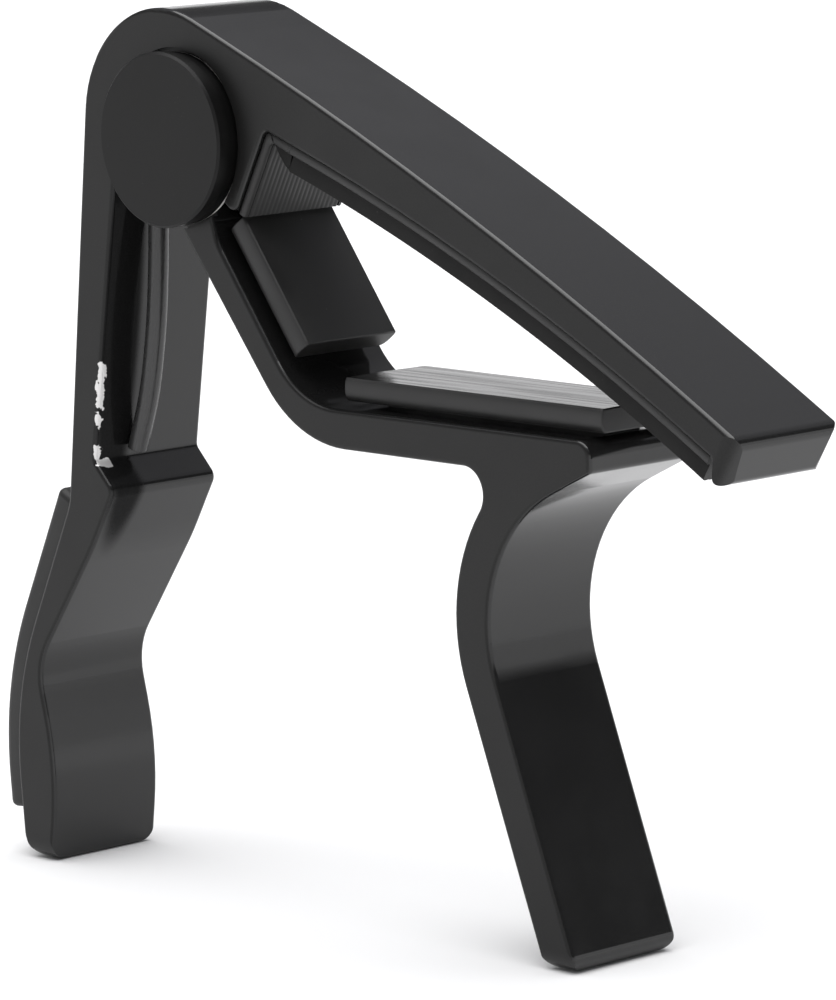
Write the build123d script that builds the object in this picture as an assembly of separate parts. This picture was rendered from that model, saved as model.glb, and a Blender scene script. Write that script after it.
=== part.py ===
from build123d import *
from math import acos, atan2, cos, degrees, hypot, radians, sin
import os

os.makedirs("parts", exist_ok=True)

# Spring-loaded guitar capo. Two aluminium profiles turn on one pivot: an upper arm with the string bar
# and the rear handle, and a lower jaw with the neck rest and the front handle.
# Every outline is drawn in the XZ plane about the pivot and pushed out along Y, half to each side.
# X runs towards the tip of the string bar, Y along the pivot, Z up. Millimetres.
# The finished capo is then moved so that its origin is the middle of its footprint, feet on Z = 0.
# An outline is a list of corners: (x, z, radius of the arc that rounds the corner).

# ---- driving dimensions -----------------------------------------------------------------------------
BODY_WIDTH = 15.0          # both aluminium profiles
EDGE_ROUND = 0.5           # broken edges along both sides of the profiles
FLOOR_Z = -79.9            # underside of both feet, below the pivot

# pivot
HUB_RADIUS = 8.35
SOCKET_RADIUS = 8.4        # running clearance of 0.05 round the hub
HUB_BORE_RADIUS = 6.3
HUB_HALF_LENGTH = 6.6      # also the floor of the counterbores
ARM_COUNTERBORE_RADIUS = 9.45
JAW_COUNTERBORE_RADIUS = 9.35
PIN_RADIUS = 2.5
PIN_HALF_LENGTH = 8.0
CAP_RADIUS = 9.12
CAP_BACK_Y = 6.9
CAP_STEP_Y = 8.4           # below this the cap's wall steps in
CAP_FACE_Y = 9.9
CAP_STEP_RADIUS = 8.9
CAP_CHAMFER = 0.25
CAP_BOSS_RADIUS = 6.25
CAP_BOSS_Y = 3.95
WASHER_THICKNESS = 0.25
WASHER_BORE_RADIUS = 6.35

# torsion spring
WIRE_RADIUS = 1.1
COIL_RADIUS = 4.9
COIL_HALF_SPAN = 2.4       # wire centre of the first and last turn
COIL_PITCH = 2.27
LEG_TIP = (-12.85, -34.2)  # wire centre where the long leg rests on the rear handle
TANG_REACH = 7.35          # radius that the short anchored end reaches
TANG_WIRE_RADIUS = 0.95    # the anchored end is drawn down a little
TANG_SETBACK = 0.3         # it starts this far inside the coil's centre line
COIL_STEP = 15             # degrees between the stations of the coil's centre line
LEG_STATIONS = (0.03, 0.08, 0.2, 0.4, 0.7, 1.0)   # shares of the straight run from the coil to the tip
KEYWAY_RADIUS = 7.5
KEYWAY_HALF_WIDTH = 1.15
LEG_WINDOW = (183.0, 267.0)  # angles of the hub window that the long leg swings in
LEG_WINDOW_Y = -1.15       # the window is open from this Y to the near end of the hub
BUSH_RADIUS = 3.65
BUSH_BORE_RADIUS = 2.55
BUSH_HALF_LENGTH = 3.8

# upper arm: head, bar, hook at the tip, ear beside the pivot, rear handle
BAR_CROWN = (41.0, -3.06, 540)
BAR_TIP_TOP = (78.15, -24.5, 1.2)
BAR_BELLY = (45.9, -9.49, 310)
HOOK_ROOT = (74.6, -26.3, 0.6)
EAR_ROOT = (13.2, 1.55, 0.9)
EAR_END = (8.55, -7.45, 0.9)
TIP_CORNER_RADIUS = 2.3
TIP_REACH = 0.35           # the foot of the tip face stands this far beyond its top corner
FOOT_CORNER_RADIUS = 2.4   # both feet, seen from the front
ARM_OUTLINE = [
    (-12.7, 18.6, 12.2),     # head
    BAR_CROWN,
    BAR_TIP_TOP,
    (75.8, -29.2, 1.0),
    (74.5, -28.7, 0.6),
    HOOK_ROOT,
    BAR_BELLY,
    EAR_ROOT,
    EAR_END,
    (4.4, -4.4, 0),          # inside the socket
    (-6.5, 1.5, 0.8),        # inside the socket
    (-9.0, 0.6, 0.8),
    (-14.1, -35.1, 0.8),     # seat of the spring leg
    (-11.2, -38.1, 1.2),     # ledge
    (-15.0, -44.8, 36),
    (-24.4, -58.4, 7),
    (-21.6, -69.8, 33),
    (-22.9, FLOOR_Z, 0.7),
    (-27.2, FLOOR_Z, 3.2),
    (-28.7, -62.2, 35),
    (-18.5, -40.1, 6),
]

# lower jaw: root at the hub, sloping part, flat neck rest, front handle
SLOPE_ANGLE = 53.4         # fall of the sloping part below the horizontal
SLOPE_START = (7.4, -12.4)
JAW_TOP_Z = -26.2
JAW_OUTLINE = [
    (-2.17, -5.88, 0),       # inside the hub
    (17.0, -30.3, 14.5),
    (46.2, -30.3, 2.7),
    (37.3, -43.05, 19.3),
    (51.4, FLOOR_Z, 2.2),
    (56.1, FLOOR_Z, 1.45),
    (40.35, -38.27, 15.7),
    (58.65, -29.3, 0.6),
    (58.65, JAW_TOP_Z, 1.7),
    (17.7, JAW_TOP_Z, 10.5),
    (5.95, -10.45, 5),
    (4.1, -4.0, 0),          # inside the hub
]

# rubber parts
PAD_GAP = 0.04             # bond line between rubber and metal
STRING_PAD_WIDTH = 12.8
STRING_FLANGE_WIDTH = 13.9
STRING_FLANGE = 1.15       # thickness of the wide upper layer
STRING_PAD_DEPTH = 3.15
RETURN_DEPTH = 1.0         # where the pad turns down the ear
NOTCH_DEPTH = 0.9          # the pad is cut back to this depth at the bend
NOTCH_RUN = 3.2            # and comes back to its full depth over this run
STRING_PAD_ARC = 305       # lengthwise hollow of the string pad's back
STRING_FACE_ARC = 275      # and of its underside
RETURN_CORNER_BACK = 0.8   # bend of the pad at the root of the ear, metal side
BODY_START = 0.04          # the narrow body starts at this share of the run from the ear to the middle
RETURN_CORNER_BODY = 0.5
NOTCH_ROUND = 1.0
RETURN_END_ROUND = 0.3     # lower end of the turned-down part
STRING_PAD_TIP_ROUND = 0.6
RETURN_OVERHANG = -0.3     # the turned-down part ends this far below the ear
STRING_PAD_END_GAP = 0.5
RAIL_WIDTH = 8.0
RAIL_DEPTH = 1.1
RAIL_OVERLAP = 1.0         # the rail starts this deep inside the pad
RAIL_ARC = 93
RAIL_START = 0.3           # share of the run from the ear to the middle of the bar
RAIL_STOP = 0.85           # share of the run from the middle of the bar to the hook
NECK_RAIL_WIDTH = 5.2
NECK_RAIL_DEPTH = 1.0
NECK_RAIL_INSET = 3.0      # the rail is this much shorter than its pad at each end
NECK_RAIL_OVERLAP = 0.2    # the rail runs this far up into its pad
SIDE_PAD = dict(start=-3.05, end=12.55, low=1.25, top=4.0, widen=0.6)   # along the sloping part
BACK_PAD = dict(start=22.8, end=58.9, low=0.6, top=3.1, widen=0.0)      # along X on the flat part
PAD_TOP_HALF = 5.55
PAD_BULGE_HALF = 5.9
PAD_FOOT_HALF = 5.2
GRIP_WIDTH = 12.8
GRIP_THICKNESS = 3.4
GRIP_TOP = (-18.35, -38.4)
GRIP_END_ROUND = 1.2
GRIP_FOOT_RUN = 12.6       # length of the grip below the corner of the handle's bulge


# ---- outline helpers --------------------------------------------------------------------------------
def unit(a, b):
    length = hypot(b[0] - a[0], b[1] - a[1])
    return (b[0] - a[0]) / length, (b[1] - a[1]) / length


def between(a, b, share):
    """Point at a share of the way from a to b."""
    return a[0] + share * (b[0] - a[0]), a[1] + share * (b[1] - a[1])


def rounded_face(corners):
    """Face in the XZ plane from a list of (x, z, radius)."""
    points = [(x, z) for x, z, radius in corners]
    radii = [radius for x, z, radius in corners]
    return Plane.XZ * make_face(FilletPolyline(*points, radius=radii, close=True))


def prism(corners, width):
    """Outline pushed out to both sides of the middle plane."""
    return extrude(rounded_face(corners), amount=width / 2, both=True)


def disc(radius, y_from, y_to):
    """Round slab about the pivot."""
    return extrude(Plane.XZ.offset(-y_from) * Circle(radius), amount=y_from - y_to)


def cross(point_a, dir_a, point_b, dir_b):
    """Point where two lines meet."""
    det = dir_a[0] * dir_b[1] - dir_a[1] * dir_b[0]
    dx = point_b[0] - point_a[0]
    dz = point_b[1] - point_a[1]
    t = (dx * dir_b[1] - dz * dir_b[0]) / det
    return point_a[0] + dir_a[0] * t, point_a[1] + dir_a[1] * t


def parallel(path, distances):
    """Corners of an open path moved to its right by one distance for each run."""
    lines = []
    for start, finish, distance in zip(path, path[1:], distances):
        along = unit(start, finish)
        lines.append(((start[0] + along[1] * distance, start[1] - along[0] * distance), along))
    first = lines[0][0]
    final, along = lines[-1]
    run = hypot(path[-1][0] - path[-2][0], path[-1][1] - path[-2][1])
    last = (final[0] + along[0] * run, final[1] + along[1] * run)
    middle = [cross(*a, *b) for a, b in zip(lines, lines[1:])]
    return [first, *middle, last]


def band(path, near, far, width):
    """Strip between two parallels of a path; each path point is (x, z, radius on the near side,
    radius on the far side)."""
    near_side = parallel(path, near)
    far_side = parallel(path, far)
    corners = [(*point, p[2]) for point, p in zip(near_side, path)]
    corners += [(*point, p[3]) for point, p in reversed(list(zip(far_side, path)))]
    return prism(corners, width)


def on_side(edge):
    """True for an edge that lies in one of the two flat sides of a profile."""
    box = edge.bounding_box()
    return min(abs(box.min.Y), abs(box.max.Y)) > BODY_WIDTH / 2 - 1e-3


def break_side_edges(solid, radius):
    """Round the edges along both flat sides."""
    return fillet(solid.edges().filter_by(on_side), radius)


# ---- aluminium profiles -----------------------------------------------------------------------------
def counterbores(radius):
    outside = BODY_WIDTH
    return disc(radius, HUB_HALF_LENGTH, outside) + disc(radius, -outside, -HUB_HALF_LENGTH)


def string_path():
    """Line that the string pad follows: down the ear reversed, then out along the bar."""
    ear = unit(EAR_ROOT, EAR_END)
    ear_foot = (EAR_END[0] + ear[0] * RETURN_OVERHANG, EAR_END[1] + ear[1] * RETURN_OVERHANG)
    bar = unit(BAR_BELLY, HOOK_ROOT)
    tip = (HOOK_ROOT[0] - bar[0] * STRING_PAD_END_GAP, HOOK_ROOT[1] - bar[1] * STRING_PAD_END_GAP)
    return ear_foot, EAR_ROOT[:2], BAR_BELLY[:2], tip


def rail(clearance):
    """Key on the string pad's back, and with clearance the channel for it in the bar."""
    ear_foot, root, belly, tip = string_path()
    start = between(root, belly, RAIL_START)
    stop = between(belly, tip, RAIL_STOP)
    path = [(*start, 0, 0), (*belly, RAIL_ARC, RAIL_ARC), (*stop, 0, 0)]
    depth = RAIL_DEPTH + clearance
    return band(path, [-depth] * 2, [RAIL_OVERLAP] * 2, RAIL_WIDTH + 2 * clearance)


def tip_corner_trim():
    """Waste that rounds the two upright corners at the tip of the bar."""
    along = unit(BAR_CROWN, BAR_TIP_TOP)
    end = Plane(origin=(BAR_TIP_TOP[0], 0, BAR_TIP_TOP[1]), x_dir=(along[0], 0, along[1]),
                z_dir=(-along[1], 0, along[0]))
    length = 8 * TIP_CORNER_RADIUS
    keep = Pos(TIP_REACH - length / 2, 0, 0) * Box(length, BODY_WIDTH, 2 * BODY_WIDTH)
    keep = fillet(keep.edges().filter_by(Axis.Z).group_by(Axis.X)[-1], TIP_CORNER_RADIUS)
    waste = Pos(TIP_REACH, 0, 0) * Box(2 * TIP_CORNER_RADIUS, 2 * BODY_WIDTH, BODY_WIDTH)
    return end * (waste - keep)


def foot_corner_trim():
    """Waste that rounds the two lower corners of a foot, seen from the front."""
    length = 8 * BODY_WIDTH
    height = 4 * FOOT_CORNER_RADIUS
    keep = Box(length, BODY_WIDTH, height)
    keep = fillet(keep.edges().filter_by(Axis.X).group_by(Axis.Z)[0], FOOT_CORNER_RADIUS)
    waste = Box(length, 2 * BODY_WIDTH, 2 * FOOT_CORNER_RADIUS) - Pos(0, 0, height / 2) * keep
    return Pos(0, 0, FLOOR_Z) * waste


def make_upper_arm():
    arm = break_side_edges(prism(ARM_OUTLINE, BODY_WIDTH), EDGE_ROUND)
    arm -= foot_corner_trim()
    arm -= disc(SOCKET_RADIUS, -BODY_WIDTH, BODY_WIDTH)
    arm -= counterbores(ARM_COUNTERBORE_RADIUS)
    arm -= tip_corner_trim()
    return arm - rail(PAD_GAP)


def hub_window():
    """Wedge that clears the swing of the long spring leg."""
    reach = 2 * HUB_RADIUS
    first, last = (radians(angle) for angle in LEG_WINDOW)
    middle = (first + last) / 2
    corners = [(0, 0, 0)]
    corners += [(reach * cos(a), reach * sin(a), 0) for a in (first, middle, last)]
    depth = BODY_WIDTH / 2 + LEG_WINDOW_Y
    wedge = prism(corners, depth)
    return Pos(0, LEG_WINDOW_Y - depth / 2, 0) * wedge


def hub_keyway():
    """Slot along the hub's bore for the spring's short end."""
    slot = Box(KEYWAY_RADIUS, BODY_WIDTH, 2 * KEYWAY_HALF_WIDTH)
    slot = Pos(KEYWAY_RADIUS / 2, 0, 0) * slot
    return Rot(0, -tang_angle(), 0) * slot


def make_lower_jaw():
    jaw = break_side_edges(prism(JAW_OUTLINE, BODY_WIDTH), EDGE_ROUND)
    jaw -= foot_corner_trim()
    jaw += disc(HUB_RADIUS, -HUB_HALF_LENGTH, HUB_HALF_LENGTH)
    jaw -= counterbores(JAW_COUNTERBORE_RADIUS)
    jaw -= disc(HUB_BORE_RADIUS, -BODY_WIDTH, BODY_WIDTH)
    jaw -= hub_window()
    jaw -= hub_keyway()
    for pad in (side_pad_rail, back_pad_rail):
        jaw -= pad(PAD_GAP)
    return jaw


# ---- pivot hardware ---------------------------------------------------------------------------------
def make_pivot_cap(side):
    cap = disc(CAP_RADIUS, CAP_STEP_Y, CAP_FACE_Y)
    cap = chamfer(cap.edges().group_by(Axis.Y)[-1], CAP_CHAMFER)
    cap += disc(CAP_STEP_RADIUS, CAP_BACK_Y, CAP_STEP_Y)
    cap += disc(CAP_BOSS_RADIUS, CAP_BOSS_Y, CAP_BACK_Y)
    cap -= disc(PIN_RADIUS, 0, PIN_HALF_LENGTH)
    return cap if side > 0 else mirror(cap, about=Plane.XZ)


def make_thrust_washer(side):
    inner = CAP_BACK_Y - WASHER_THICKNESS
    washer = disc(CAP_STEP_RADIUS, inner, CAP_BACK_Y) - disc(WASHER_BORE_RADIUS, inner, CAP_BACK_Y)
    return washer if side > 0 else mirror(washer, about=Plane.XZ)


def make_pivot_pin():
    return disc(PIN_RADIUS, -PIN_HALF_LENGTH, PIN_HALF_LENGTH)


def make_spring_bush():
    sleeve = disc(BUSH_RADIUS, -BUSH_HALF_LENGTH, BUSH_HALF_LENGTH)
    return sleeve - disc(BUSH_BORE_RADIUS, -BUSH_HALF_LENGTH, BUSH_HALF_LENGTH)


def leg_angle():
    """Angle round the coil, in degrees, where the long leg leaves it."""
    reach = hypot(*LEG_TIP)
    return degrees(atan2(LEG_TIP[1], LEG_TIP[0]) - acos(COIL_RADIUS / reach)) % 360


def coil_turns():
    return 2 * COIL_HALF_SPAN / COIL_PITCH


def tang_angle():
    """Angle of the short anchored end, at the far end of the coil."""
    return (leg_angle() - 360 * coil_turns()) % 360


def coil_point(turned):
    """Centre of the coil's wire after turning this many degrees from the tang."""
    angle = radians(tang_angle() + turned)
    y = COIL_HALF_SPAN - COIL_PITCH * turned / 360
    return COIL_RADIUS * cos(angle), y, COIL_RADIUS * sin(angle)


def make_torsion_spring():
    """The coil winds from the tang on the far side to the long leg on the near side."""
    turned = 360 * coil_turns()
    steps = round(turned / COIL_STEP)
    points = [coil_point(turned * i / steps) for i in range(steps + 1)]
    leg_start = (points[-1][0], points[-1][2])
    leg = [between(leg_start, LEG_TIP, share) for share in LEG_STATIONS]
    points += [(x, -COIL_HALF_SPAN, z) for x, z in leg]
    wire = Spline(*points)
    spring = sweep(Plane(origin=wire @ 0, z_dir=wire % 0) * Circle(WIRE_RADIUS), path=wire)
    anchor = radians(tang_angle())
    out = Vector(cos(anchor), 0, sin(anchor))
    root = Vector(0, COIL_HALF_SPAN, 0) + out * (COIL_RADIUS - TANG_SETBACK)
    tang = extrude(Plane(origin=root, z_dir=out) * Circle(TANG_WIRE_RADIUS),
                   amount=TANG_REACH - COIL_RADIUS + TANG_SETBACK)
    return spring + tang


# ---- rubber -----------------------------------------------------------------------------------------
def make_string_pad():
    ear_foot, root, belly, tip = string_path()
    arc = STRING_PAD_ARC
    path = [(*ear_foot, 0, RETURN_END_ROUND), (*root, RETURN_CORNER_BACK, RETURN_CORNER_BODY),
            (*belly, arc, arc), (*tip, 0, 0)]
    flange = band(path, [PAD_GAP] * 3, [RETURN_DEPTH, STRING_FLANGE, STRING_FLANGE],
                  STRING_FLANGE_WIDTH)
    back = parallel([ear_foot, root, belly, tip], [PAD_GAP] * 3)
    notch = parallel([ear_foot, root, belly, tip], [RETURN_DEPTH, NOTCH_DEPTH, NOTCH_DEPTH])[1]
    face = parallel([root, belly, tip], [STRING_PAD_DEPTH] * 2)
    along = unit(face[0], face[1])
    full = (face[0][0] + along[0] * NOTCH_RUN, face[0][1] + along[1] * NOTCH_RUN)
    body_start = between(back[1], back[2], BODY_START)
    corners = [(*body_start, 0), (*back[2], arc), (*back[3], 0), (*face[2], STRING_PAD_TIP_ROUND),
               (*face[1], STRING_FACE_ARC), (*full, NOTCH_ROUND), (*notch, 0)]
    body = prism(corners, STRING_PAD_WIDTH)
    return flange + body + rail(0)


def neck_pad_section(pad):
    """Half-round sided head, standing off the metal on a rail; drawn across the pad, height up."""
    low, top, widen = pad["low"], pad["top"], pad["widen"]
    middle = (low + top) / 2
    head, bulge, foot = PAD_TOP_HALF + widen, PAD_BULGE_HALF + widen, PAD_FOOT_HALF + widen
    profile = [
        Line((-head, top), (head, top)),
        ThreePointArc((head, top), (bulge, middle), (foot, low)),
        Line((foot, low), (-foot, low)),
        ThreePointArc((-foot, low), (-bulge, middle), (-head, top)),
    ]
    return make_face(profile)


def slope_plane(along):
    """Plane across the sloping part, its Y axis square to the metal."""
    fall = radians(SLOPE_ANGLE)
    x = SLOPE_START[0] + along * cos(fall)
    z = SLOPE_START[1] - along * sin(fall)
    return Plane(origin=(x, 0, z), x_dir=(0, 1, 0), z_dir=(cos(fall), 0, -sin(fall)))


def flat_plane(along):
    """Plane across the flat part, its Y axis up."""
    return Plane(origin=(along, 0, JAW_TOP_Z), x_dir=(0, 1, 0), z_dir=(1, 0, 0))


def neck_pad(plane_at, pad):
    """Head of a neck pad from one end to the other."""
    section = plane_at(pad["start"]) * neck_pad_section(pad)
    return extrude(section, amount=pad["end"] - pad["start"])


def neck_rail(plane_at, pad, clearance):
    """Rail under a neck pad, and with clearance the groove for it in the jaw."""
    width = NECK_RAIL_WIDTH + 2 * clearance
    bottom = -NECK_RAIL_DEPTH - clearance
    rail_top = pad["low"] + NECK_RAIL_OVERLAP
    start = pad["start"] + NECK_RAIL_INSET - clearance
    length = pad["end"] - NECK_RAIL_INSET + clearance - start
    section = Pos(0, (bottom + rail_top) / 2) * Rectangle(width, rail_top - bottom)
    return extrude(plane_at(start) * section, amount=length)


def side_pad_rail(clearance):
    return neck_rail(slope_plane, SIDE_PAD, clearance)


def back_pad_rail(clearance):
    return neck_rail(flat_plane, BACK_PAD, clearance)


def make_neck_pad_side():
    return neck_pad(slope_plane, SIDE_PAD) + side_pad_rail(0)


def make_neck_pad_back():
    return neck_pad(flat_plane, BACK_PAD) + back_pad_rail(0)


def make_handle_grip():
    """Cushion bonded to the outer face of the rear handle."""
    upper, bulge, lower = ARM_OUTLINE[-1], ARM_OUTLINE[-2], ARM_OUTLINE[-3]
    fall = unit(lower, bulge)
    foot = (bulge[0] - fall[0] * GRIP_FOOT_RUN, bulge[1] - fall[1] * GRIP_FOOT_RUN)
    path = [foot, bulge[:2], upper[:2]]
    back = parallel(path, [-PAD_GAP] * 2)
    face = parallel(path, [-GRIP_THICKNESS] * 2)
    corners = [(*back[0], 0), (*back[1], bulge[2]), (*back[2], upper[2]), (*GRIP_TOP, 0)]
    corners += [(*face[2], GRIP_END_ROUND), (*face[1], bulge[2] + GRIP_THICKNESS),
                (*face[0], GRIP_END_ROUND)]
    return prism(corners, GRIP_WIDTH)


# ---- assembly ---------------------------------------------------------------------------------------
def build_all():
    nodes = {
        "upper_arm": make_upper_arm(),
        "lower_jaw": make_lower_jaw(),
        "pivot_pin": make_pivot_pin(),
        "spring_bush": make_spring_bush(),
        "torsion_spring": make_torsion_spring(),
        "string_pad": make_string_pad(),
        "neck_pad_side": make_neck_pad_side(),
        "neck_pad_back": make_neck_pad_back(),
        "handle_grip": make_handle_grip(),
    }
    for name, side in (("near", -1), ("far", 1)):
        nodes["pivot_cap_" + name] = make_pivot_cap(side)
        nodes["thrust_washer_" + name] = make_thrust_washer(side)
    return nodes


def main():
    nodes = build_all()
    box = Compound(list(nodes.values())).bounding_box()
    to_frame = Pos(-(box.min.X + box.max.X) / 2, 0, -box.min.Z)
    pivot = to_frame.position
    print(f"pivot at X {pivot.X:.4f} Z {pivot.Z:.4f}, overall {box.size}")
    for name, shape in nodes.items():
        placed = to_frame * shape
        placed.label = name
        export_step(placed, f"parts/{name}.step")
        print(f"{name}: {len(placed.solids())} solid, {placed.volume:.1f} mm3")


main()
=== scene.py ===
from math import acos, atan2, ceil, cos, hypot, pi, radians, sin, tan

import bmesh
import bpy
from mathutils import Matrix, Vector


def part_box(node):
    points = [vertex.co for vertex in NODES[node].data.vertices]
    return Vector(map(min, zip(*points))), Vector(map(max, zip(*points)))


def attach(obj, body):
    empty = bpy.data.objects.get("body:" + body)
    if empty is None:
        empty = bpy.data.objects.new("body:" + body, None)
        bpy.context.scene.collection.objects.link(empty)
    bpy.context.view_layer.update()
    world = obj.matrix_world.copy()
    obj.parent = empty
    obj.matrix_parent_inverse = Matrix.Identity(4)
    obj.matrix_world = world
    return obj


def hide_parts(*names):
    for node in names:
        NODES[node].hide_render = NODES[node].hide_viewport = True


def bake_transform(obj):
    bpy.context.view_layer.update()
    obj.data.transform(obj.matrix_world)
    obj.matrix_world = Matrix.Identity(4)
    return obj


# Looks for the spring-loaded guitar capo. The two profiles, the caps and the hidden pivot parts are the CAD
# nodes with new materials. The rubber parts and the spring are rebuilt here in finer detail.
# Sizes are in millimetres, measured from the pivot as in the CAD model, and at() turns them into the frame.

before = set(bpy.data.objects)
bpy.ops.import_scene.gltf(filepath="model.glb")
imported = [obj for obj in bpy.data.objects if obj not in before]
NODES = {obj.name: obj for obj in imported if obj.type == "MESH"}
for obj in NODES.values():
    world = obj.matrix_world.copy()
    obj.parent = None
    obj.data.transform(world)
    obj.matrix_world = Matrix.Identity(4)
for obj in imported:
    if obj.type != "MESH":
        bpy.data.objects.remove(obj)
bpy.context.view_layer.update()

MM = 0.001
pin_low, pin_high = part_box("pivot_pin")
PIVOT = (Vector(pin_low) + Vector(pin_high)) / 2


def at(x, y, z):
    """A point given in millimetres from the pivot, in the frame."""
    return PIVOT + Vector((x, y, z)) * MM


# ---- meshes -----------------------------------------------------------------------------------------
SHARP_ANGLE = radians(38)


def finish_mesh(name, mesh, sharp=SHARP_ANGLE):
    for polygon in mesh.polygons:
        polygon.use_smooth = True
    mesh.set_sharp_from_angle(angle=sharp)
    obj = bpy.data.objects.new(name, mesh)
    bpy.context.scene.collection.objects.link(obj)
    return obj


def loft(name, rings, sharp=SHARP_ANGLE):
    """Closed skin through rings of points, each ring a closed loop, with a flat cap at both ends."""
    count = len(rings[0])
    verts = [p for ring in rings for p in ring]
    faces = []
    for i in range(len(rings) - 1):
        for j in range(count):
            k = (j + 1) % count
            faces.append((i * count + j, i * count + k, (i + 1) * count + k, (i + 1) * count + j))
    faces.append(tuple(reversed(range(count))))
    faces.append(tuple(range((len(rings) - 1) * count, len(rings) * count)))
    mesh = bpy.data.meshes.new(name)
    mesh.from_pydata([tuple(v) for v in verts], [], faces)
    work = bmesh.new()
    work.from_mesh(mesh)
    bmesh.ops.recalc_face_normals(work, faces=work.faces)
    work.to_mesh(mesh)
    work.free()
    return finish_mesh(name, mesh, sharp)


def soften(obj, width, angle=40, segments=3):
    """Round the edges where faces meet sharply."""
    bevel = obj.modifiers.new("edges", "BEVEL")
    bevel.width = width * MM
    bevel.segments = segments
    bevel.limit_method = "ANGLE"
    bevel.angle_limit = radians(angle)
    bevel.harden_normals = False
    return obj


# ---- plane geometry in the outline (x, z) ------------------------------------------------------------
def unit2(a, b):
    length = hypot(b[0] - a[0], b[1] - a[1])
    return (b[0] - a[0]) / length, (b[1] - a[1]) / length


def between(a, b, share):
    return a[0] + share * (b[0] - a[0]), a[1] + share * (b[1] - a[1])


def crossing(point_a, dir_a, point_b, dir_b):
    det = dir_a[0] * dir_b[1] - dir_a[1] * dir_b[0]
    t = ((point_b[0] - point_a[0]) * dir_b[1] - (point_b[1] - point_a[1]) * dir_b[0]) / det
    return point_a[0] + dir_a[0] * t, point_a[1] + dir_a[1] * t


def shifted(path, distances):
    """Corners of an open path moved to its right by one distance for each run."""
    lines = []
    for start, finish, distance in zip(path, path[1:], distances):
        along = unit2(start, finish)
        lines.append(((start[0] + along[1] * distance, start[1] - along[0] * distance), along))
    last_base, along = lines[-1]
    run = hypot(path[-1][0] - path[-2][0], path[-1][1] - path[-2][1])
    last = (last_base[0] + along[0] * run, last_base[1] + along[1] * run)
    return [lines[0][0]] + [crossing(*a, *b) for a, b in zip(lines, lines[1:])] + [last]


def fillet_points(before, corner, after, radius, steps):
    """Points of the arc that rounds a corner, from its start to its end."""
    into = unit2(corner, before)
    out = unit2(corner, after)
    half = acos(max(-1, min(1, into[0] * out[0] + into[1] * out[1]))) / 2
    reach = radius / tan(half)
    middle = (into[0] + out[0], into[1] + out[1])
    size = hypot(*middle)
    centre_reach = radius / sin(half)
    centre = (corner[0] + middle[0] / size * centre_reach, corner[1] + middle[1] / size * centre_reach)
    first = (corner[0] + into[0] * reach, corner[1] + into[1] * reach)
    last = (corner[0] + out[0] * reach, corner[1] + out[1] * reach)
    begin = atan2(first[1] - centre[1], first[0] - centre[0])
    turn = atan2(last[1] - centre[1], last[0] - centre[0]) - begin
    turn = (turn + pi) % (2 * pi) - pi
    return [(centre[0] + radius * cos(begin + turn * i / steps),
             centre[1] + radius * sin(begin + turn * i / steps)) for i in range(steps + 1)]


# ---- materials --------------------------------------------------------------------------------------
FLAT_SIDE = (0.55, 0.9)      # how far a face has to point sideways to count as a flat side
LEVEL_TOP = (0.88, 0.98)     # and how far up to count as a level top
EVEN = (1, 1, 1)             # the same grain in every direction


def grey(value, warm=0.0):
    return (value * (1 + warm), value, value * (1 - warm), 1)


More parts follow.
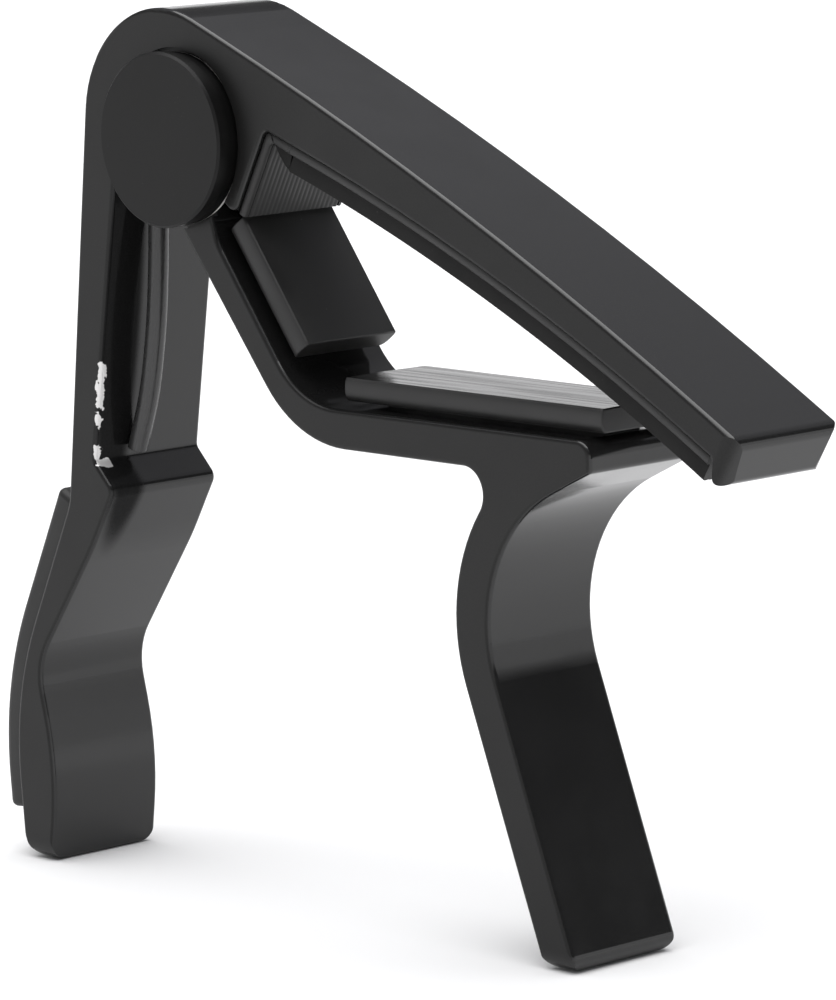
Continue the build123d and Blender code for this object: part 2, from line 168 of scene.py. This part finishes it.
class Shader:
    """A small helper that adds and wires the nodes of one material."""

    def __init__(self, name):
        self.material = bpy.data.materials.new(name)
        self.material.use_nodes = True
        self.tree = self.material.node_tree
        self.surface = self.tree.nodes["Principled BSDF"]
        self.coords = self.tree.nodes.new("ShaderNodeTexCoord")

    def node(self, kind, **inputs):
        made = self.tree.nodes.new(kind)
        for key, value in inputs.items():
            self.put(made, key.replace("_", " "), value)
        return made

    def put(self, node, key, value):
        socket = node.inputs[int(key) if key.isdigit() else key]
        if isinstance(value, bpy.types.NodeSocket):
            self.tree.links.new(value, socket)
        else:
            socket.default_value = value

    def set(self, key, value):
        self.put(self.surface, key, value)

    def math(self, operation, a, b=0.0, clamp=False):
        made = self.node("ShaderNodeMath")
        made.operation = operation
        made.use_clamp = clamp
        self.put(made, "0", a)
        self.put(made, "1", b)
        return made.outputs[0]

    def spread(self, value, low, high, to_low=0.0, to_high=1.0):
        made = self.node("ShaderNodeMapRange", Value=value)
        made.clamp = True
        made.interpolation_type = "SMOOTHSTEP"
        for key, number in (("From Min", low), ("From Max", high), ("To Min", to_low), ("To Max", to_high)):
            self.put(made, key, number)
        return made.outputs[0]

    def mix(self, share, a, b):
        made = self.tree.nodes.new("ShaderNodeMix")
        made.data_type = "RGBA"
        self.put(made, "0", share)
        self.put(made, "6", a)
        self.put(made, "7", b)
        return made.outputs[2]

    def mix_value(self, share, a, b):
        made = self.tree.nodes.new("ShaderNodeMix")
        for key, value in (("0", share), ("2", a), ("3", b)):
            self.put(made, key, value)
        return made.outputs[0]

    def scaled(self, x, y, z):
        """Object coordinates stretched by a factor per axis, in features per metre."""
        made = self.node("ShaderNodeMapping", Vector=self.coords.outputs["Object"])
        made.inputs["Scale"].default_value = (x, y, z)
        return made.outputs[0]

    def noise(self, vector, scale, detail=2.0):
        made = self.node("ShaderNodeTexNoise", Vector=vector, Scale=scale, Detail=detail)
        return made.outputs["Fac"]

    def bump(self, height, strength, distance, normal=None):
        made = self.node("ShaderNodeBump", Height=height, Strength=strength, Distance=distance * MM)
        if normal is not None:
            self.put(made, "Normal", normal)
        return made.outputs[0]

    def facing_y(self):
        """1 on flat sides, 0 on faces that don't point along the pivot."""
        parts = self.node("ShaderNodeSeparateXYZ", Vector=self.coords.outputs["Normal"])
        return self.spread(self.math("ABSOLUTE", parts.outputs[1]), *FLAT_SIDE)

    def facing_up(self):
        """1 on a level top, 0 on anything that leans."""
        parts = self.node("ShaderNodeSeparateXYZ", Vector=self.coords.outputs["Normal"])
        return self.spread(parts.outputs[2], *LEVEL_TOP)

    def scale_colour(self, colour, factor):
        made = self.tree.nodes.new("ShaderNodeVectorMath")
        made.operation = "SCALE"
        self.put(made, "0", colour)
        self.put(made, "Scale", factor)
        return made.outputs[0]

    def near(self, centre, radii):
        """1 at a point, falling to 0 at the edge of an ellipsoid with these radii in millimetres."""
        made = self.node("ShaderNodeMapping", Vector=self.coords.outputs["Object"])
        scale = [1 / (r * MM) for r in radii]
        made.inputs["Scale"].default_value = scale
        made.inputs["Location"].default_value = [-c * s for c, s in zip(centre, scale)]
        length = self.tree.nodes.new("ShaderNodeVectorMath")
        length.operation = "LENGTH"
        self.tree.links.new(made.outputs[0], length.inputs[0])
        return self.math("SUBTRACT", 1.0, length.outputs["Value"], clamp=True)


ANODISED = dict(skin=0.009, side=0.007, skin_rough=0.12, side_rough=0.40, skin_ior=1.49, side_ior=1.34)
METAL_GRAIN = 5200           # features per metre, as all the scales below
METAL_CLOUD = 160
DIE_LINES = (1600, 40, 1600)   # long in the direction of extrusion
SPECK_RANGE = (0.82, 1.25)   # how far the grain darkens and lightens the colour
BUMP_DEPTH = 0.01
# painted shade: a lower IOR in chosen places, beside the spring leg and under the back neck pad, stands in
# for the shade that falls there
SHADE_IOR = 1.12
SHADE_BORDER = 0.35           # share of a patch of painted shade over which it fades out
BARE = dict(grey=0.72, rough=0.5, metal=0.55)
RAGGED = (-0.4, 0.55)        # how far noise pulls the border of a worn place in and out
WORN_FROM = (0.3, 0.38)


def wear_mask(s, places):
    """1 on the bare metal of the worn places, 0 elsewhere."""
    mask = None
    for centre, radii, edge in places:
        spot = s.near(centre, radii)
        noise = s.noise(s.scaled(*EVEN), edge, 3)
        ragged = s.math("ADD", spot, s.spread(noise, 0.2, 0.8, *RAGGED))
        spot = s.math("MULTIPLY", s.spread(ragged, *WORN_FROM), s.spread(spot, 0.0, 0.06))
        mask = spot if mask is None else s.math("MAXIMUM", mask, spot)
    return mask


def anodised(name, wear=(), painted_shade=()):
    """Black anodised aluminium: glossy extruded skin, satin sawn sides tinted slightly warm as painted
    bounce light, bare metal where it is worn,
    and painted shade: places given a lower IOR so they reflect less and read darker than the rest."""
    s = Shader(name)
    side = s.facing_y()
    fine = s.noise(s.scaled(*EVEN), METAL_GRAIN, 3)
    cloud = s.noise(s.scaled(*EVEN), METAL_CLOUD, 2)
    die_lines = s.noise(s.scaled(*DIE_LINES), 1, 3)
    # the slight warmth of the side colour is painted light: it stands in for warm light bounced from the
    # floor onto the sides
    tone = s.mix(side, grey(ANODISED["skin"]), grey(ANODISED["side"], 0.02))
    colour = s.scale_colour(tone, s.spread(fine, 0.3, 0.75, *SPECK_RANGE))
    rough = s.math("ADD", s.mix_value(side, ANODISED["skin_rough"], ANODISED["side_rough"]),
                   s.spread(cloud, 0.3, 0.7, -0.02, 0.03))
    metal = 0.0
    if wear:
        mask = wear_mask(s, wear)
        colour = s.mix(mask, colour, grey(BARE["grey"], 0.01))
        rough = s.mix_value(mask, rough, BARE["rough"])
        metal = s.math("MULTIPLY", mask, BARE["metal"])
    ior = s.mix_value(side, ANODISED["skin_ior"], ANODISED["side_ior"])
    # painted shade: in these places the IOR drops, so the metal reflects less and reads darker
    for centre, radii in painted_shade:
        share = s.spread(s.near(centre, radii), 0.0, SHADE_BORDER)
        share = s.math("MULTIPLY", share, s.math("SUBTRACT", 1.0, side))
        ior = s.mix_value(share, ior, SHADE_IOR)
    s.set("Base Color", colour)
    s.set("Roughness", rough)
    s.set("Metallic", metal)
    s.set("IOR", ior)
    normal = s.bump(die_lines, s.mix_value(side, 0.035, 0.0), BUMP_DEPTH)
    s.set("Normal", s.bump(fine, s.mix_value(side, 0.0, 0.12), BUMP_DEPTH, normal))
    return s.material


MOULD_CLOUD = 220
CLOUD_SHADE = (0.85, 1.2)    # how far the clouding darkens and lightens the colour
DUST_GRAIN = 3400
DUST_FROM = (0.79, 0.83)     # only the peaks of the noise become specks of dust
DUST_SHARE = 0.5
DUST_LIGHTER = 9             # a speck is this many times lighter than the part
MOULD_BUMP = 0.02
POLISHED_TOP = 0.19          # roughness of a rubber top worn smooth
POLISH_SWING = 0.07
SET_BACK = (6.55, 6.7)       # a side wall nearer the middle than this stands back
# painted shade: the set-back side walls get this lower IOR so they reflect less, standing in for the shade
# under the wider layer
SET_BACK_SHADE_IOR = 1.15


def moulded(name, base, rough, grain, strength=0.25, streaks=None, ior=1.5, shade_recessed_sides=False):
    """Moulded rubber or plastic: fine grain, slight clouding and dust, optional streaks along the top.
    With shade_recessed_sides, the side walls that stand back from the widest layer get painted shade: a
    lower IOR, so they reflect less."""
    s = Shader(name)
    fine = s.noise(s.scaled(*EVEN), grain, 3)
    cloud = s.noise(s.scaled(*EVEN), MOULD_CLOUD, 3)
    colour = s.scale_colour(grey(base, 0.015)[:3], s.spread(cloud, 0.3, 0.7, *CLOUD_SHADE))
    dust = s.spread(s.noise(s.scaled(*EVEN), DUST_GRAIN, 1), *DUST_FROM, 0.0, DUST_SHARE)
    s.set("Base Color", s.mix(dust, colour, grey(base * DUST_LIGHTER)))
    roughness = s.spread(cloud, 0.25, 0.75, rough - 0.05, rough + 0.07)
    normal = s.bump(fine, strength, MOULD_BUMP)
    if streaks is not None:
        top = s.facing_up()
        lines = s.noise(s.scaled(*streaks), 1, 3)
        streaky = s.spread(lines, 0.3, 0.7, POLISHED_TOP - POLISH_SWING, POLISHED_TOP + POLISH_SWING)
        roughness = s.mix_value(top, roughness, streaky)
        normal = s.bump(lines, s.mix_value(top, 0.0, 0.25), MOULD_BUMP, normal)
    s.set("Roughness", roughness)
    s.set("Normal", normal)
    # painted shade on the side walls that stand back from the widest layer
    if shade_recessed_sides:
        parts = s.node("ShaderNodeSeparateXYZ", Vector=s.coords.outputs["Object"])
        near_middle, beyond = (y * MM for y in SET_BACK)
        recess_shade_mask = s.spread(s.math("ABSOLUTE", parts.outputs[1]), near_middle, beyond, 1.0, 0.0)
        ior = s.mix_value(s.math("MULTIPLY", s.facing_y(), recess_shade_mask), ior, SET_BACK_SHADE_IOR)
    s.set("IOR", ior)
    return s.material


GRINDING_LINES = (300, 5000, 300)


def ground_metal(name, base, rough, metallic=1.0):
    """Drawn or ground metal with fine lines round it."""
    s = Shader(name)
    lines = s.noise(s.scaled(*GRINDING_LINES), 1, 2)
    s.set("Base Color", s.mix(lines, grey(base * 0.85), grey(base * 1.1)))
    s.set("Metallic", metallic)
    s.set("Roughness", s.spread(lines, 0.3, 0.7, rough - 0.06, rough + 0.08))
    s.set("Normal", s.bump(lines, 0.1, BUMP_DEPTH))
    return s.material


# worn places: centre, reach in millimetres, how fine the ragged border is
EDGE_WEAR = [(at(-12.80, -7.3, -26.0), (0.6, 0.75, 2.0), 900),
             (at(-13.16, -7.3, -28.4), (0.65, 0.85, 2.6), 900),
             (at(-13.46, -7.3, -30.7), (0.55, 0.7, 1.6), 900)]
LEDGE_WEAR = [(at(-13.95, -7.2, -34.3), (0.6, 0.8, 1.2), 1100),
              (at(-13.7, -6.3, -35.3), (0.9, 1.7, 0.7), 1100)]
# painted shade, places where the metal is made to reflect less and read darker: centre and reach
SHADE_BESIDE_SPRING = (at(-11.9, -5.1, -20.0), (6.5, 3.3, 34.0))
SHADE_UNDER_BACK_PAD = (at(20.5, -3.5, -26.2), (13.0, 8.0, 6.0))

WIPE_LINES = (60, 2600, 2600)   # long in the direction of the neck pad

arm_metal = anodised("arm_anodised", EDGE_WEAR + LEDGE_WEAR, [SHADE_BESIDE_SPRING])
jaw_metal = anodised("jaw_anodised", painted_shade=[SHADE_UNDER_BACK_PAD])
cap_plastic = moulded("cap_black", 0.006, 0.4, 3800, 0.18, ior=1.28)
pad_rubber = moulded("pad_rubber_black", 0.014, 0.5, 3000, 0.3, ior=1.45)
string_rubber = moulded("string_pad_black", 0.014, 0.5, 3000, 0.25, ior=1.45, shade_recessed_sides=True)
streaked_rubber = moulded("neck_pad_black", 0.010, 0.48, 3000, 0.1, streaks=WIPE_LINES, ior=1.48)
grip_rubber = moulded("grip_black", 0.011, 0.5, 2600, 0.3, ior=1.4)
spring_steel = ground_metal("spring_blackened", 0.04, 0.26, 0.25)
pin_steel = ground_metal("pin_steel", 0.5, 0.3)
washer_white = moulded("washer_acetal", 0.6, 0.45, 2000, 0.1)


def paint(obj, material):
    obj.data.materials.clear()
    obj.data.materials.append(material)
    return obj


def paint_node(name, material):
    for index in range(len(NODES[name].material_slots)):
        NODES[name].material_slots[index].link = "OBJECT"
        NODES[name].material_slots[index].material = material


for node_name, material in (
    ("upper_arm", arm_metal), ("lower_jaw", jaw_metal), ("pivot_pin", pin_steel),
    ("spring_bush", washer_white), ("pivot_cap_near", cap_plastic), ("pivot_cap_far", cap_plastic),
    ("thrust_washer_near", washer_white), ("thrust_washer_far", washer_white),
):
    paint_node(node_name, material)


# ---- string pad -------------------------------------------------------------------------------------
EAR_ROOT = (13.2, 1.55)
EAR_END = (8.55, -7.45)
BAR_BELLY = (45.9, -9.49)
HOOK_ROOT = (74.6, -26.3)
PAD_BACK = 0.04            # bond line between the pad and the bar
FLANGE_HALF = 6.95
BODY_HALF = 6.4
FLANGE_DEPTH = 1.15        # of the wide layer against the bar
BODY_DEPTH = 3.15          # of the ribbed layer on the bar
RETURN_DEPTH = 1.0         # of both where the pad turns down the ear
NOTCH_DEPTH = 0.95         # the pad is cut back to this depth at the bend
NOTCH_RUN = 3.2            # and comes back to its full depth over this run
RETURN_OVERHANG = -0.3     # the turned-down part ends this far below the ear
PAD_TIP_GAP = 0.5
RIBS = 20
RIB_HEIGHT = 0.06
RIB_ROUND = 5              # points across one rib
RETURN_STEPS = 4
CORNER_STEPS = 6
BELLY_STEPS = 30
BELLY_ARC = 300
CORNER_ROUND = 0.8         # bend at the root of the ear
WALL = 0.35                # height of the plain side wall above the ribs' roots
BACK_CHAMFER = 0.15
FLANGE_CHAMFER = 0.2
RIB_MARGIN = 0.12          # plain strip between the side wall and the first rib
LAYER_STEP = 0.05          # the flange stays this far behind the ribbed layer where both are thin
NOTCH_CURVE = 1.6          # how quickly the notch comes back to full depth
STRING_PAD_SHARP = radians(50)


def string_section():
    """Loop across the pad: (y, layer, how far beyond the layer's depth)."""
    loop = [(-FLANGE_HALF + BACK_CHAMFER, "back", 0), (-FLANGE_HALF, "back", BACK_CHAMFER),
            (-FLANGE_HALF, "flange", -FLANGE_CHAMFER), (-FLANGE_HALF + FLANGE_CHAMFER, "flange", 0),
            (-BODY_HALF, "flange", 0), (-BODY_HALF, "face", -WALL)]
    mirrored = [(-y, layer, extra) for y, layer, extra in reversed(loop)]
    pitch = 2 * (BODY_HALF - RIB_MARGIN) / RIBS
    for rib in range(RIBS):
        left = -BODY_HALF + RIB_MARGIN + rib * pitch
        for step in range(RIB_ROUND):
            share = step / RIB_ROUND
            loop.append((left + pitch * share, "face", RIB_HEIGHT * (sin(pi * share) - 1)))
    return loop + mirrored


def pad_line(layer, extra):
    """Points of one lengthwise line of the pad, from the end of its turned-down part to the tip."""
    ear = unit2(EAR_ROOT, EAR_END)
    foot = (EAR_END[0] + ear[0] * RETURN_OVERHANG, EAR_END[1] + ear[1] * RETURN_OVERHANG)
    bar = unit2(BAR_BELLY, HOOK_ROOT)
    tip = (HOOK_ROOT[0] - bar[0] * PAD_TIP_GAP, HOOK_ROOT[1] - bar[1] * PAD_TIP_GAP)
    base = {"back": PAD_BACK, "flange": FLANGE_DEPTH, "face": BODY_DEPTH}[layer]
    near_ear = {"back": PAD_BACK, "flange": RETURN_DEPTH - LAYER_STEP, "face": RETURN_DEPTH}[layer]
    bend = {"back": PAD_BACK, "flange": NOTCH_DEPTH - LAYER_STEP, "face": NOTCH_DEPTH}[layer]
    shallow = shifted([foot, EAR_ROOT, BAR_BELLY, tip], [near_ear + extra, bend + extra, bend + extra])
    full = shifted([foot, EAR_ROOT, BAR_BELLY, tip], [near_ear + extra, base + extra, base + extra])
    points = [between(shallow[0], shallow[1], step / RETURN_STEPS) for step in range(RETURN_STEPS)]
    points += fillet_points(shallow[0], shallow[1], shallow[2], CORNER_ROUND, CORNER_STEPS)
    run = unit2(full[1], full[2])
    for step in range(1, CORNER_STEPS + 1):
        share = step / CORNER_STEPS
        rise = 1 - (1 - share) ** NOTCH_CURVE
        start = (shallow[1][0] + run[0] * NOTCH_RUN * share, shallow[1][1] + run[1] * NOTCH_RUN * share)
        depth = (base - bend) * rise
        points.append((start[0] + run[1] * depth, start[1] - run[0] * depth))
    points += fillet_points(points[-1], full[2], full[3], BELLY_ARC - base, BELLY_STEPS)
    points.append(full[3])
    return points


def build_string_pad():
    lines = [[at(x, y, z) for x, z in pad_line(layer, extra)] for y, layer, extra in string_section()]
    rings = [list(ring) for ring in zip(*lines)]
    pad = loft("string_pad_ribbed", rings, STRING_PAD_SHARP)
    return paint(pad, string_rubber)


# ---- neck pads --------------------------------------------------------------------------------------
SLOPE_ANGLE = radians(53.4)
SLOPE_START = (7.4, -12.4)
JAW_TOP_Z = -26.2
SIDE_PAD = dict(start=-3.05, end=12.55, low=1.25, top=4.0, widen=0.6)
BACK_PAD = dict(start=22.8, end=58.9, low=0.6, top=3.1, widen=0.0)
PAD_TOP_HALF = 5.55
PAD_BULGE_HALF = 5.9
PAD_FOOT_HALF = 5.2
PAD_RAIL_HALF = 2.6
PAD_RAIL_INSET = 3.0       # the rail under a pad is this much shorter at each end
PAD_CROWN = 0.05
PAD_EDGE = 0.22
RAIL_FOOT = -0.9           # the rail reaches into its groove
RAIL_OVERLAP = 0.2         # and this far up into the pad
TOP_STEPS = 8
SIDE_STEPS = 8
SIDE_FULLNESS = 0.8        # below 1 the half-round sides are squarer
PAD_END_RUN = 0.6
NECK_PAD_SHARP = radians(30)


def neck_section(low, top, widen):
    """Loop across a neck pad: (y, height), with half-round sides."""
    middle = (low + top) / 2
    half = (top - low) / 2
    head, bulge, foot = PAD_TOP_HALF + widen, PAD_BULGE_HALF + widen, PAD_FOOT_HALF + widen
    loop = []
    for step in range(TOP_STEPS + 1):
        y = -head + 2 * head * step / TOP_STEPS
        loop.append((y, top - PAD_CROWN * (y / head) ** 2))
    side = []
    for step in range(1, SIDE_STEPS + 1):
        turn = pi / 2 - pi * step / SIDE_STEPS
        reach = head if step < SIDE_STEPS / 2 else foot
        reach += (bulge - reach) * cos(turn) ** SIDE_FULLNESS
        side.append((reach, middle + half * sin(turn)))
    return loop + side + [(-y, height) for y, height in reversed(side)]


def build_neck_pad(name, pad, place):
    """place(along, y, height) gives the point in the frame."""
    section = neck_section(pad["low"], pad["top"], pad["widen"])
    stations = [pad["start"], pad["start"] + PAD_END_RUN, pad["end"] - PAD_END_RUN, pad["end"]]
    head = loft(name, [[place(a, y, h) for y, h in section] for a in stations], NECK_PAD_SHARP)
    soften(head, PAD_EDGE, 50)
    rail_section = [(-PAD_RAIL_HALF, RAIL_FOOT), (PAD_RAIL_HALF, RAIL_FOOT),
                    (PAD_RAIL_HALF, pad["low"] + RAIL_OVERLAP), (-PAD_RAIL_HALF, pad["low"] + RAIL_OVERLAP)]
    ends = (pad["start"] + PAD_RAIL_INSET, pad["end"] - PAD_RAIL_INSET)
    rail = loft(name + "_rail", [[place(a, y, h) for y, h in rail_section] for a in ends])
    return [paint(head, streaked_rubber), paint(rail, pad_rubber)]


def on_slope(along, y, height):
    x = SLOPE_START[0] + along * cos(SLOPE_ANGLE) + height * sin(SLOPE_ANGLE)
    z = SLOPE_START[1] - along * sin(SLOPE_ANGLE) + height * cos(SLOPE_ANGLE)
    return at(x, y, z)


def on_flat(along, y, height):
    return at(along, y, JAW_TOP_Z + height)


# ---- handle grip ------------------------------------------------------------------------------------
HANDLE_UPPER = (-18.5, -40.1)
HANDLE_BULGE = (-28.7, -62.2)
HANDLE_FOOT = (-27.2, -79.9)
GRIP_FOOT_RUN = 12.6
GRIP_THICKNESS = 3.4
GRIP_HALF = 6.4
GRIP_EDGE = 1.1
GRIP_END_ROUND = 0.7
GRIP_EDGE_STEPS = 5
BULGE_RADIUS = 35
BULGE_STEPS = 24


def grip_line(depth):
    """Lengthwise line of the cushion at a distance from the metal."""
    fall = unit2(HANDLE_FOOT, HANDLE_BULGE)
    foot = (HANDLE_BULGE[0] - fall[0] * GRIP_FOOT_RUN, HANDLE_BULGE[1] - fall[1] * GRIP_FOOT_RUN)
    corners = shifted([foot, HANDLE_BULGE, HANDLE_UPPER], [-depth, -depth])
    return [corners[0], *fillet_points(*corners, BULGE_RADIUS + depth, BULGE_STEPS), corners[2]]


def build_grip():
    """Cushion with a flat face and rounded edges all round."""
    side = [(-GRIP_HALF, GRIP_THICKNESS - GRIP_EDGE)]
    for step in range(1, GRIP_EDGE_STEPS + 1):
        turn = pi / 2 * step / GRIP_EDGE_STEPS
        side.append((-GRIP_HALF + GRIP_EDGE * (1 - cos(turn)),
                     GRIP_THICKNESS - GRIP_EDGE * (1 - sin(turn))))
    loop = [(-GRIP_HALF, PAD_BACK), *side, *((-y, height) for y, height in reversed(side)),
            (GRIP_HALF, PAD_BACK)]
    lines = [[at(x, y, z) for x, z in grip_line(height)] for y, height in loop]
    rings = [list(ring) for ring in zip(*lines)]
    obj = loft("handle_grip_cushion", rings, radians(40))
    soften(obj, GRIP_END_ROUND, 50, 4)
    return paint(obj, grip_rubber)


# ---- torsion spring ---------------------------------------------------------------------------------
WIRE = 1.1
COIL = 4.9
COIL_HALF_SPAN = 2.4
COIL_PITCH = 2.27
LEG_TIP = (-12.85, -34.2)
LEG_KNEE = (-8.3, -5.5)    # the leg turns down here, under the cap
LEG_BOW = [(-8.6, -9.0), (-8.85, -14.5), (-9.45, -21.0), (-10.75, -28.0)]
TANG_REACH = 7.3
WIRE_SIDES = 20
COIL_STEPS_PER_TURN = 40
LEG_STEPS = 10             # points on each run of the leg
TANG_STATIONS = (1.0, 0.6, 0.25)   # shares of the way out from the coil to the end of the tang
WIRE_END_ROUND = 0.25


def tube(name, points, radius):
    """Round wire along a line of points."""
    frames = []
    direction = (points[1] - points[0]).normalized()
    side = direction.orthogonal().normalized()
    for i, point in enumerate(points):
        ahead = points[min(i + 1, len(points) - 1)] - points[max(i - 1, 0)]
        ahead.normalize()
        side = (side - ahead * side.dot(ahead)).normalized()
        frames.append((point, side, ahead.cross(side)))
    rings = []
    for i, (point, side, other) in enumerate(frames):
        rings.append([point + (side * cos(a) + other * sin(a)) * radius
                      for a in (2 * pi * k / WIRE_SIDES for k in range(WIRE_SIDES))])
    return loft(name, rings, radians(45))


def smooth_run(stations, steps):
    """Points of a smooth curve through the inner stations; the first and last only steer its ends."""
    points = []
    for p0, p1, p2, p3 in zip(stations, stations[1:], stations[2:], stations[3:]):
        for step in range(1, steps + 1):
            t = step / steps
            points.append((p1 * 2 + (p2 - p0) * t + (p0 * 2 - p1 * 5 + p2 * 4 - p3) * t ** 2
                           + (p1 * 3 - p0 - p2 * 3 + p3) * t ** 3) / 2)
    return points


def spring_line():
    reach = hypot(*LEG_KNEE)
    leave = atan2(LEG_KNEE[1], LEG_KNEE[0]) - acos(COIL / reach)
    turned = 2 * pi * 2 * COIL_HALF_SPAN / COIL_PITCH
    steps = ceil(turned / (2 * pi) * COIL_STEPS_PER_TURN)
    start = leave - turned
    points = []
    for share in TANG_STATIONS:
        radius = COIL + (TANG_REACH - COIL) * share
        points.append(at(radius * cos(start), COIL_HALF_SPAN, radius * sin(start)))
    for i in range(steps + 1):
        angle = start + turned * i / steps
        y = COIL_HALF_SPAN - 2 * COIL_HALF_SPAN * i / steps
        points.append(at(COIL * cos(angle), y, COIL * sin(angle)))
    leg = [(COIL * cos(leave), COIL * sin(leave)), LEG_KNEE, *LEG_BOW, LEG_TIP]
    stations = [at(x, -COIL_HALF_SPAN, z) for x, z in leg]
    stations = [points[-2]] + stations + [stations[-1] * 2 - stations[-2]]
    return points + smooth_run(stations, LEG_STEPS)


def build_spring():
    obj = tube("torsion_spring_wire", spring_line(), WIRE * MM)
    soften(obj, WIRE_END_ROUND, 50)
    return paint(obj, spring_steel)


# ---- pieces on their bodies -------------------------------------------------------------------------
string_pad = build_string_pad()
side_pad = build_neck_pad("neck_pad_on_slope", SIDE_PAD, on_slope)
back_pad = build_neck_pad("neck_pad_on_flat", BACK_PAD, on_flat)
grip = build_grip()
spring = build_spring()

for pieces, node, body, slot in (
    ([string_pad], "string_pad", "arm", "pad_rubber"),
    (side_pad, "neck_pad_side", "jaw", "pad_rubber"),
    (back_pad, "neck_pad_back", "jaw", "pad_rubber"),
    ([grip], "handle_grip", "arm", "grip_rubber"),
):
    for piece in pieces:
        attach(piece, body)
        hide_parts(node)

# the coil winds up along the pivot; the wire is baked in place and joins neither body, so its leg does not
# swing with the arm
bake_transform(spring)
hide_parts("torsion_spring")


# ---- floor and light --------------------------------------------------------------------------------
FLOOR_HALF = 3.0
FLOOR_ALBEDO = 0.85
SUN_STRENGTH = 3.7
SUN_SPREAD = radians(70)
SUN_DIRECTION = (0.05, 0.1, -1.0)


def build_floor():
    mesh = bpy.data.meshes.new("floor")
    h = FLOOR_HALF
    mesh.from_pydata([(-h, -h, 0), (h, -h, 0), (h, h, 0), (-h, h, 0)], [], [(0, 1, 2, 3)])
    floor = bpy.data.objects.new("floor", mesh)
    bpy.context.scene.collection.objects.link(floor)
    s = Shader("pale_floor")
    cloud = s.noise(s.scaled(1, 1, 1), 3, 1)
    s.set("Base Color", s.mix(cloud, grey(FLOOR_ALBEDO - 0.01), grey(FLOOR_ALBEDO + 0.01)))
    s.set("Roughness", 0.9)
    s.set("Specular IOR Level", 0.1)
    paint(floor, s.material)
    return floor


# brightness of the studio against the sine of the height above the horizon
SKY = ((0.0, 0.9), (0.5, 1.1), (0.60, 1.1), (0.632, 0.1), (0.74, 0.12), (0.80, 0.44), (1.0, 0.5))


COOL_LOW = 0.01             # how far red and green fall behind blue
COOL_OVERHEAD = 0.05


def build_world():
    world = bpy.data.worlds.new("studio")
    bpy.context.scene.world = world
    world.use_nodes = True
    tree = world.node_tree
    coords = tree.nodes.new("ShaderNodeTexCoord")
    parts = tree.nodes.new("ShaderNodeSeparateXYZ")
    tree.links.new(coords.outputs["Generated"], parts.inputs[0])
    half = tree.nodes.new("ShaderNodeMath")
    half.operation = "MULTIPLY_ADD"
    half.inputs[1].default_value = 0.5
    half.inputs[2].default_value = 0.5
    tree.links.new(parts.outputs[2], half.inputs[0])
    ramp = tree.nodes.new("ShaderNodeValToRGB")
    ramp.color_ramp.interpolation = "EASE"
    elements = ramp.color_ramp.elements
    while len(elements) < len(SKY):
        elements.new(0.5)
    for element, (place, value) in zip(elements, SKY):
        element.position = place
        cool = COOL_OVERHEAD if place > 0.7 else COOL_LOW
        element.color = (value * (1 - cool), value * (1 - cool), value, 1)
    tree.links.new(half.outputs[0], ramp.inputs[0])
    tree.links.new(ramp.outputs[0], tree.nodes["Background"].inputs["Color"])


def build_sun():
    """One very wide, soft light from overhead."""
    data = bpy.data.lights.new("softbox", "SUN")
    data.energy = SUN_STRENGTH
    data.angle = SUN_SPREAD
    sun = bpy.data.objects.new("softbox", data)
    sun.rotation_mode = "QUATERNION"
    sun.rotation_quaternion = Vector(SUN_DIRECTION).to_track_quat("-Z", "Y")
    bpy.context.scene.collection.objects.link(sun)


build_floor()
build_world()
build_sun()


# ---- camera -----------------------------------------------------------------------------------------
CAMERA_PLACE = (444.98, -409.11, 57.60)   # millimetres from the pivot
CAMERA_AZIMUTH = radians(45.43)
CAMERA_DROP = radians(10.13)
CAMERA_TILT = radians(-1.45)
LENS = 209.2


def build_camera():
    data = bpy.data.cameras.new("camera")
    data.lens = LENS
    data.clip_start = 0.01
    data.clip_end = 20
    ahead = Vector((-sin(CAMERA_AZIMUTH) * cos(CAMERA_DROP), cos(CAMERA_AZIMUTH) * cos(CAMERA_DROP),
                    -sin(CAMERA_DROP)))
    right = ahead.cross(Vector((0, 0, 1))).normalized()
    up = right.cross(ahead)
    lean = Matrix.Rotation(-CAMERA_TILT, 3, "Y")
    axes = Matrix((lean @ right, lean @ up, lean @ -ahead)).transposed()
    camera = bpy.data.objects.new("camera", data)
    camera.matrix_world = Matrix.Translation(at(*CAMERA_PLACE)) @ axes.to_4x4()
    bpy.context.scene.collection.objects.link(camera)
    bpy.context.scene.camera = camera


build_camera()
bpy.context.scene.view_settings.view_transform = "Standard"
